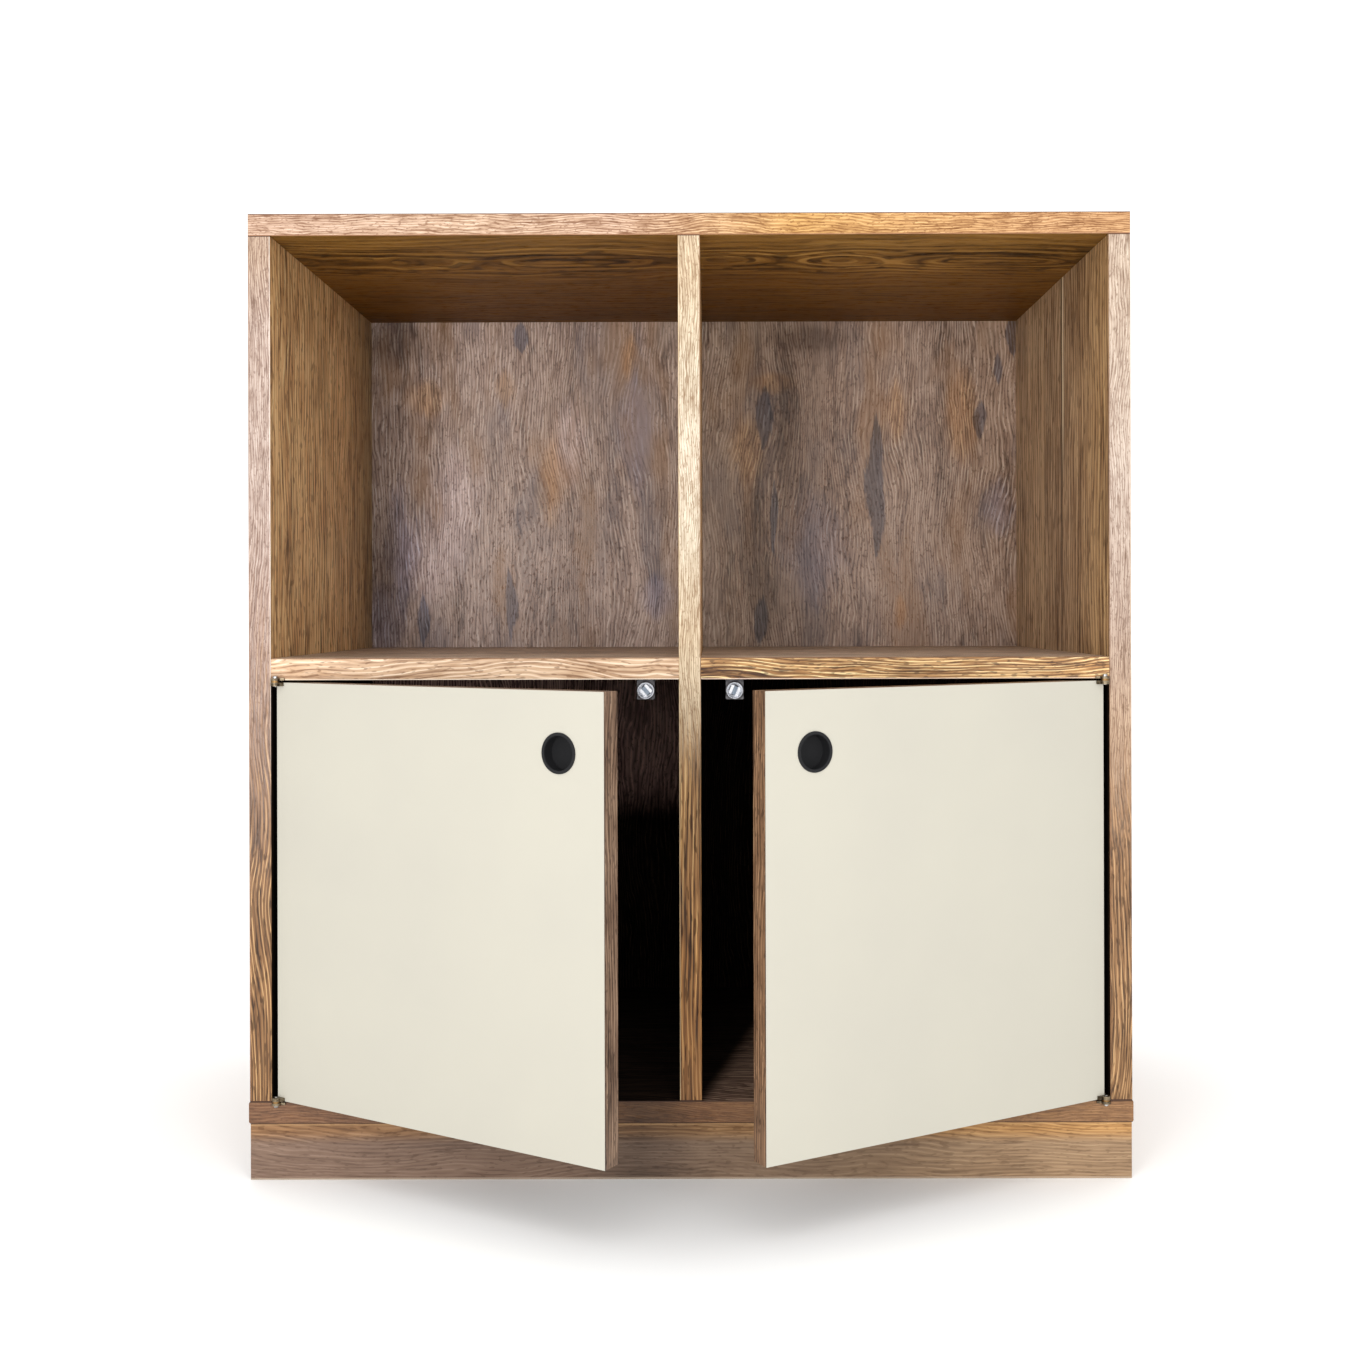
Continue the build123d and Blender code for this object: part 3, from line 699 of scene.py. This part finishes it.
# Dark bands in the veneer, and painted shade in the sheet's top corners and along its left edge.
dark_bands_and_corner_shade = Mark(
    (0.60, 0.56, 0.52), soft,
    (0.103, 0.700, 0.010, 0.090), (0.068, 0.560, 0.012, 0.070), (0.080, 0.500, 0.014, 0.050),
    (-0.345, 0.520, 0.016, 0.090), (-0.335, 0.790, 0.026, 0.026), (0.130, 0.796, 0.040, 0.014),
)
panel_strokes = {"period": 0.0033, "length": 0.013, "sway": 0.0014, "bend": 0.019, "blotch": 0.5}
panel_tones = (shade(78, 57, 48), shade(178, 150, 134), shade(210, 184, 169), shade(253, 237, 224))
panel_strength = 0.75
panel_roughness = 0.42
rear_tones = (shade(84, 62, 50), shade(128, 102, 84), shade(148, 120, 100), shade(170, 144, 122))
painted_lit_back_tones = (shade(66, 48, 42), shade(132, 102, 95), shade(162, 129, 117), shade(196, 158, 144))
cloud_waves = (22, 7)
clouds = (
    ("Red", (0.52, 0.70), 0.4, shade(126, 118, 124)),
    ("Green", (0.50, 0.70), 0.45, shade(176, 134, 92)),
    ("Blue", (0.52, 0.72), 0.4, shade(190, 168, 154)),
)
mark_bends = (45, 14, 0.008)
mark_fraying = 2.4
near_divider = (10, 0.5)
divider_tints = ((0, (1, 1, 1)), (1, (0.88, 0.84, 0.76)))
# Tints across the width: painted shade darkens the left corner, and the middle of the right bay is darker.
width_tints_and_shade = (
    (0.045, (0.68, 0.69, 0.71)),
    (0.12, (0.90, 0.91, 0.93)),
    (0.3, (0.91, 0.91, 0.91)),
    (0.43, (1, 1, 1)),
    (0.55, (0.98, 0.98, 0.94)),
    (0.63, (0.76, 0.75, 0.74)),
    (0.70, (0.87, 0.85, 0.85)),
    (0.86, (0.89, 0.89, 0.91)),
    (0.93, (1, 1, 1)),
)
# Painted shade: the sheet darker toward its foot.
height_painted_shade = ((0.47, (0.87, 0.87, 0.89)), (0.62, (0.94, 0.94, 0.94)), (0.77, (1, 1, 1)))
# Painted light: a faint band across the left closed bay's back above 0.3 m; the rest of the closed bays is
# painted shade.
lit_above = (0.255, 0.30)
lit_left_of = (0.0, -0.01)


def back_sheet():
    wood = Veneer("back_veneer", upright_grain, (0, 0, 5))
    wood.figure(**panel_strokes)
    body = wood.stain(panel_tones, panel_strength)
    cloudy = wood.noise(wood.flow, *cloud_waves, 2, 0.6, "Color")
    for part, limits, cover, tone in clouds:
        cloud = wood.node("ShaderNodeSeparateColor", {}, {"Color": cloudy}, part)
        body = wood.blend(wood.fade(cloud, *limits) * cover, body, tone)
    across, _, up = wood.split(wood.wander(wood.place, *mark_bends))
    frayed = wood.tone * mark_fraying - mark_fraying / 2
    for mark in (dark_bands_and_corner_shade, golden_patches, lilac_patches, painted_sheen, grey_streaks):
        spread = 0
        for at_x, at_z, half_width, half_height in mark.patches:
            beside = abs(across - at_x) * (1 / half_width)
            above = (up - at_z) * (1 / half_height)
            spread = spread + wood.fade(beside + above * above + frayed, *mark.rim)
        body = wood.blend(spread, body, mark.tint, "MULTIPLY")
    body = wood.toned(body, wood.share(wood.x, near_divider), *divider_tints)
    body = wood.toned(body, wood.share(wood.x, full_width), *width_tints_and_shade)
    body = wood.toned(body, wood.z, *height_painted_shade)
    body = wood.blend(wood.y < panel_front + face_play, wood.stain(rear_tones), body)
    satin = wood.board(body, panel_roughness)
    lit = wood.fade(wood.z, *lit_above) * wood.fade(wood.x, *lit_left_of)
    bay_back = wood.blend(lit, wood.stain(painted_bay_shade), wood.stain(painted_lit_back_tones))
    return wood.surface(wood.with_painted_bay_shade(satin, bay_back))


coat("back_panel", back_sheet())


# Plinth: plain boards on edge, glued and screwed below the carcass and set flush with its sides.
# They are greyer than the carcass, with a golden band along their top.
plinth_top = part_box("plinth_front")[1].z
plinth_strokes = {"period": 0.0034, "length": 0.022, "sway": 0.002}
plinth_grey = (shade(90, 68, 50), shade(138, 112, 88), shade(156, 130, 104), shade(178, 152, 124))
plinth_gold = (shade(100, 66, 34), shade(160, 118, 72), shade(184, 141, 90), shade(210, 168, 115))
grey_strength = 0.55
gold_strength = 0.7
gold_above = (0.030, 0.043)
# Painted shade across the boards: darkest in the left door's shadow just left of the middle, and darker to
# the left than the right.
plinth_painted_shade = (
    (0.1, (0.63, 0.60, 0.68)),
    (0.37, (0.54, 0.51, 0.56)),
    (0.413, (0.38, 0.36, 0.39)),
    (0.444, (0.32, 0.30, 0.32)),
    (0.472, (0.41, 0.39, 0.42)),
    (0.507, (0.60, 0.58, 0.60)),
    (0.556, (0.62, 0.60, 0.61)),
    (0.62, (0.60, 0.58, 0.58)),
    (0.66, (0.64, 0.62, 0.6)),
    (0.85, (1, 0.97, 0.88)),
)
plinth_lines = (
    (plinth_top - 0.0016, 0.0006, 0.3, shade(196, 158, 110)),
    (plinth_top, 0.0006, 0.8, shade(58, 38, 26)),
    (0, 0.0016, 0.5, shade(176, 160, 140)),
)


def plinth_finish(name, turn, shift):
    """The boards' wood, with a light line and a dark joint along the top and a pale line at the foot."""
    wood = Veneer(name, turn, shift)
    wood.figure(**plinth_strokes)
    grey = wood.stain(plinth_grey, grey_strength)
    golden = wood.stain(plinth_gold, gold_strength)
    colour = wood.blend(wood.fade(wood.z, *gold_above), grey, golden)
    colour = wood.toned(colour, wood.share(wood.x, full_width), *plinth_painted_shade)
    for height, half_width, cover, tone in plinth_lines:
        colour = wood.blend(wood.line_at(wood.z, height, half_width) * cover, colour, tone)
    return wood.surface(wood.board(colour))


long_plinth_finish = plinth_finish("plinth_front_veneer", level_grain, (6, 2, 1))
end_plinth_finish = plinth_finish("plinth_end_veneer", (radians(90), 0, 0), (2, 7, 3))
for name in ("plinth_front", "plinth_back"):
    coat(name, long_plinth_finish)
for name in ("plinth_left", "plinth_right"):
    coat(name, end_plinth_finish)


# Softwood and beech that no one sees: the plinth's middle rail and its glued corner blocks, sawn
# and left bare, and the dowels that hold the carcass boards together.
pale_tones = (shade(170, 130, 84), shade(206, 172, 124), shade(220, 190, 144), shade(228, 202, 160))
pale_strokes = {"period": 0.0031, "length": 0.020, "sway": 0.0014}
sawn_roughness = 0.7


def pale_wood(name, turn):
    wood = Veneer(name, turn, (0, 0, 0))
    wood.figure(**pale_strokes)
    return wood.surface(wood.board(wood.stain(pale_tones), sawn_roughness))


coat("plinth_middle_rail", pale_wood("rail_softwood", (radians(90), 0, 0)))
block_wood = pale_wood("block_softwood", upright_grain)
coat("plinth_glue_blocks", block_wood)
coat("carcass_dowels", block_wood)


# Doors: a core board with solid dark lippings, a cream laminate in front and veneer behind.
# Each stands ajar on its two hinges, the left by 31 degrees and the right by 30.
door_ajar = {"left": radians(31.4), "right": radians(-30.2)}
laminate_tones = ((0.3, shade(175, 171, 159)), (0.7, shade(178, 174, 161)))
laminate_waves = 9
laminate_grain = 1400
laminate_relief = (0.08, 0.0001)
laminate_back = shade(66, 48, 38)
laminate_play = 0.0002
inner_door = (shade(38, 26, 20), shade(70, 50, 38), shade(88, 66, 52), shade(112, 88, 70))
lipping_strokes = {"period": 0.0034, "length": 0.02, "sway": 0.0012, "bend": 0.008}
lipping_tones = {
    "left": (shade(52, 38, 31), shade(104, 81, 65), shade(124, 100, 82), shade(160, 134, 111)),
    "right": (shade(52, 36, 24), shade(106, 77, 55), shade(128, 96, 70), shade(164, 130, 98)),
}
chip_waves = 300
chip_tones = ((0.35, shade(150, 118, 78)), (0.65, shade(206, 178, 132)))
chip_roughness = 0.9


def ahead_of(hand):
    """The direction that a door's front looks in."""
    turn = door_ajar[hand]
    return Vector((-sin(turn), -cos(turn), 0))


def reach(node, direction):
    """How far a piece reaches in a direction."""
    return max(corner.co.dot(direction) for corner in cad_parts[node].data.vertices)


def laminate(hand):
    """Cream on the door's front, and the sheet's brown paper at its cut edges."""
    paint = Finish(f"{hand}_cream_laminate")
    mottle = paint.noise(paint.place, laminate_waves, laminate_waves, 3)
    colour = paint.ramp(mottle, *laminate_tones)
    ahead = {"Vector": paint.place, "Vector_001": ahead_of(hand)}
    ahead = paint.node("ShaderNodeVectorMath", {"operation": "DOT_PRODUCT"}, ahead, "Value")
    face = reach(f"{hand}_door_face", ahead_of(hand))
    colour = paint.blend(ahead < face - laminate_play, colour, laminate_back)
    grain = paint.noise(paint.place, laminate_grain, laminate_grain, 2)
    relief = paint.bump(grain, *laminate_relief)
    made = {"Base Color": colour, "Roughness": grain * 0.1 + 0.45, "Normal": relief}
    return paint.surface(paint.shader(made))


for hand in ("left", "right"):
    coat(f"{hand}_door_face", laminate(hand))
    lipping = Veneer(f"{hand}_lipping_wood", (0, 0, door_ajar[hand]), (1, 1, 1))
    lipping.figure(**lipping_strokes)
    coat(f"{hand}_door_lipping", lipping.surface(lipping.board(lipping.stain(lipping_tones[hand]))))
    inner = Veneer(f"{hand}_inner_veneer", (0, 0, door_ajar[hand]), (4, 2, 7))
    inner.figure(**outer_strokes)
    coat(f"{hand}_door_inner_veneer", inner.surface(inner.board(inner.stain(inner_door))))
    core = Finish(f"{hand}_core_board")
    chip_tone = core.ramp(core.noise(core.place, chip_waves, chip_waves, 3), *chip_tones)
    core_shader = core.shader({"Base Color": chip_tone, "Roughness": chip_roughness})
    coat(f"{hand}_door_core", core.surface(core_shader))


# Finger pulls: moulded black plastic cups pressed into a round hole in each door. A thin rounded
# rim stands on the laminate, and the mouth is narrower than the cup, for a fingertip to hook behind.
rim_radius = 0.016
mouth_radius = 0.0135
cup_radius = 0.0143
body_radius = 0.0153
body_depth = 0.012
rim_height = 0.0008
lip = 0.002
floor_thickness = 0.0012
rim_round = 0.0003
rim_facets = 96
round_steps = 3
facing_up = 0.9
height_play = 1e-6
radius_play = 1e-5
crease_angle = radians(35)
up = Vector((0, 0, 1))

bpy.ops.object.select_all(action="DESELECT")
bpy.ops.mesh.primitive_cylinder_add(
    vertices=rim_facets, radius=body_radius, depth=body_depth, location=(0, 0, -body_depth / 2)
)
cup = bpy.context.active_object
bpy.ops.object.transform_apply(location=True, rotation=True, scale=True)
bpy.ops.object.mode_set(mode="EDIT")
bpy.ops.mesh.select_mode(type="FACE")
bpy.ops.mesh.select_all(action="DESELECT")
bpy.ops.object.mode_set(mode="OBJECT")
for face in cup.data.polygons:
    face.select = face.normal.z > facing_up
bpy.ops.object.mode_set(mode="EDIT")
level = 0
for travel, widen in (
    (0, rim_radius / body_radius),
    (rim_height, 1),
    (0, mouth_radius / rim_radius),
    (-lip, 1),
    (0, cup_radius / mouth_radius),
    (lip + floor_thickness - body_depth - rim_height, 1),
):
    bpy.ops.mesh.extrude_region_move(TRANSFORM_OT_translate={"value": up * travel})
    level += travel
    bpy.ops.transform.resize(value=(widen, widen, widen), center_override=up * level)
bpy.ops.mesh.select_mode(type="EDGE")
bpy.ops.object.mode_set(mode="OBJECT")
rounded = ((rim_radius, rim_height), (mouth_radius, rim_height), (cup_radius, floor_thickness - body_depth))
for edge in cup.data.edges:
    ends = [cup.data.vertices[number].co for number in edge.vertices]
    edge.select = any(
        all(abs(end.z - height) < height_play and abs(end.xy.length - radius) < radius_play for end in ends)
        for radius, height in rounded
    )
bpy.ops.object.mode_set(mode="EDIT")
bpy.ops.mesh.bevel(offset=rim_round, segments=round_steps)
bpy.ops.mesh.select_all(action="SELECT")
bpy.ops.mesh.normals_make_consistent(inside=False)
bpy.ops.object.mode_set(mode="OBJECT")
bpy.ops.object.shade_smooth_by_angle(angle=crease_angle)

plastic_grain = 2500
plastic_tones = ((0.3, shade(26, 26, 27)), (0.7, shade(31, 31, 33)))
plastic_relief = (0.1, 0.0001)
plastic_shine = 0.15


def moulded_black():
    paint = Finish("black_plastic")
    grain = paint.noise(paint.place, plastic_grain, plastic_grain, 2)
    made = {
        "Base Color": paint.ramp(grain, *plastic_tones),
        "Roughness": grain * 0.1 + 0.6,
        "Normal": paint.bump(grain, *plastic_relief),
        "Specular IOR Level": plastic_shine,
    }
    return paint.surface(paint.shader(made))


cup.data.materials.append(moulded_black())
for hand in ("left", "right"):
    ahead = ahead_of(hand)
    aside = ahead.cross(up)
    low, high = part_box(f"{hand}_door_pull")
    beside = (reach(f"{hand}_door_pull", aside) - reach(f"{hand}_door_pull", -aside)) / 2
    forward = reach(f"{hand}_door_pull", ahead) - rim_height
    pull = bpy.data.objects.new(f"{hand}_finger_pull", cup.data.copy())
    bpy.context.scene.collection.objects.link(pull)
    pull.location = aside * beside + ahead * forward + up * (low.z + high.z) / 2
    pull.rotation_euler = ahead.to_track_quat("Z", "Y").to_euler()
    bpy.ops.object.select_all(action="DESELECT")
    pull.select_set(True)
    bpy.context.view_layer.objects.active = pull
    bpy.ops.object.transform_apply(location=True, rotation=True, scale=True)
    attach(pull, f"{hand}_door")
    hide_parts(f"{hand}_door_pull")
bpy.data.objects.remove(cup)


# Metalwork: aged brass leaves and their screws, bronze washers, steel pins, screws and strike
# plates, and magnetic catches with a bright turned face on a dull cast-zinc barrel.
stain_waves = 220
polish_waves = 2200
metal_relief = (0.1, 0.00005)
barrel_face = (0.0048, 0.0070)
barrel_bright = shade(232, 234, 240)
zinc_dark = shade(66, 64, 66)
zinc_bright = shade(108, 106, 108)


def metal(name, dark, bright, roughness, metallic=1, turned_face=None):
    """Stained metal, with a bright ring about a turned face's middle where one is given."""
    plate = Finish(name)
    stain = plate.noise(plate.place, stain_waves, stain_waves, 4, 0.6)
    polish = plate.noise(plate.place, polish_waves, polish_waves, 2)
    colour = plate.ramp(stain, (0.35, dark), (0.65, bright))
    if turned_face is not None:
        narrow, wide = barrel_face
        flat = {"Vector": plate.place, "Vector_001": (1, 0, 1)}
        flat = plate.node("ShaderNodeVectorMath", {"operation": "MULTIPLY"}, flat)
        ends = {"Vector": flat, "Vector_001": (turned_face.x, 0, turned_face.z)}
        radius = plate.node("ShaderNodeVectorMath", {"operation": "DISTANCE"}, ends, "Value")
        colour = plate.blend((radius > narrow) * (radius < wide), colour, barrel_bright)
    made = {
        "Base Color": colour,
        "Metallic": metallic,
        "Roughness": stain * 0.3 + (roughness - 0.15),
        "Normal": plate.bump(polish, *metal_relief),
    }
    return plate.surface(plate.shader(made))


aged_brass = metal("aged_brass", shade(70, 60, 48), shade(140, 126, 104), 0.4)
bronze = metal("bronze_bush", shade(96, 70, 44), shade(150, 118, 76), 0.4)
pin_steel = metal("pin_steel", shade(140, 138, 136), shade(200, 199, 198), 0.25)
screw_steel = metal("screw_steel", shade(150, 150, 150), shade(200, 200, 200), 0.35)
plated_steel = metal("plated_steel", shade(222, 224, 230), shade(246, 247, 250), 0.3, 0.7)
ferrite = metal("ferrite", shade(128, 140, 156), shade(160, 172, 186), 0.5, 0.2)
for hand in ("left", "right"):
    for height in ("upper", "lower"):
        coat(f"{height}_{hand}_door_leaf", aged_brass)
        coat(f"{height}_{hand}_cabinet_leaf", aged_brass)
        coat(f"{height}_{hand}_hinge_washer", bronze)
        coat(f"{height}_{hand}_hinge_pin", pin_steel)
    coat(f"{hand}_door_hinge_screws", aged_brass)
    coat(f"{hand}_strike_plate", plated_steel)
    coat(f"{hand}_strike_screw", screw_steel)
    magnet_low, magnet_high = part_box(f"{hand}_catch_magnet")
    barrel_middle = (magnet_low + magnet_high) / 2
    zinc = metal(f"{hand}_cast_zinc", zinc_dark, zinc_bright, 0.45, 1, barrel_middle)
    coat(f"{hand}_catch_housing", zinc)
    coat(f"{hand}_catch_poles", plated_steel)
    coat(f"{hand}_catch_magnet", ferrite)
    coat(f"{hand}_catch_rivet", plated_steel)
coat("cabinet_hinge_screws", aged_brass)
coat("back_panel_screws", screw_steel)
coat("plinth_screws", screw_steel)
coat("catch_screws", screw_steel)
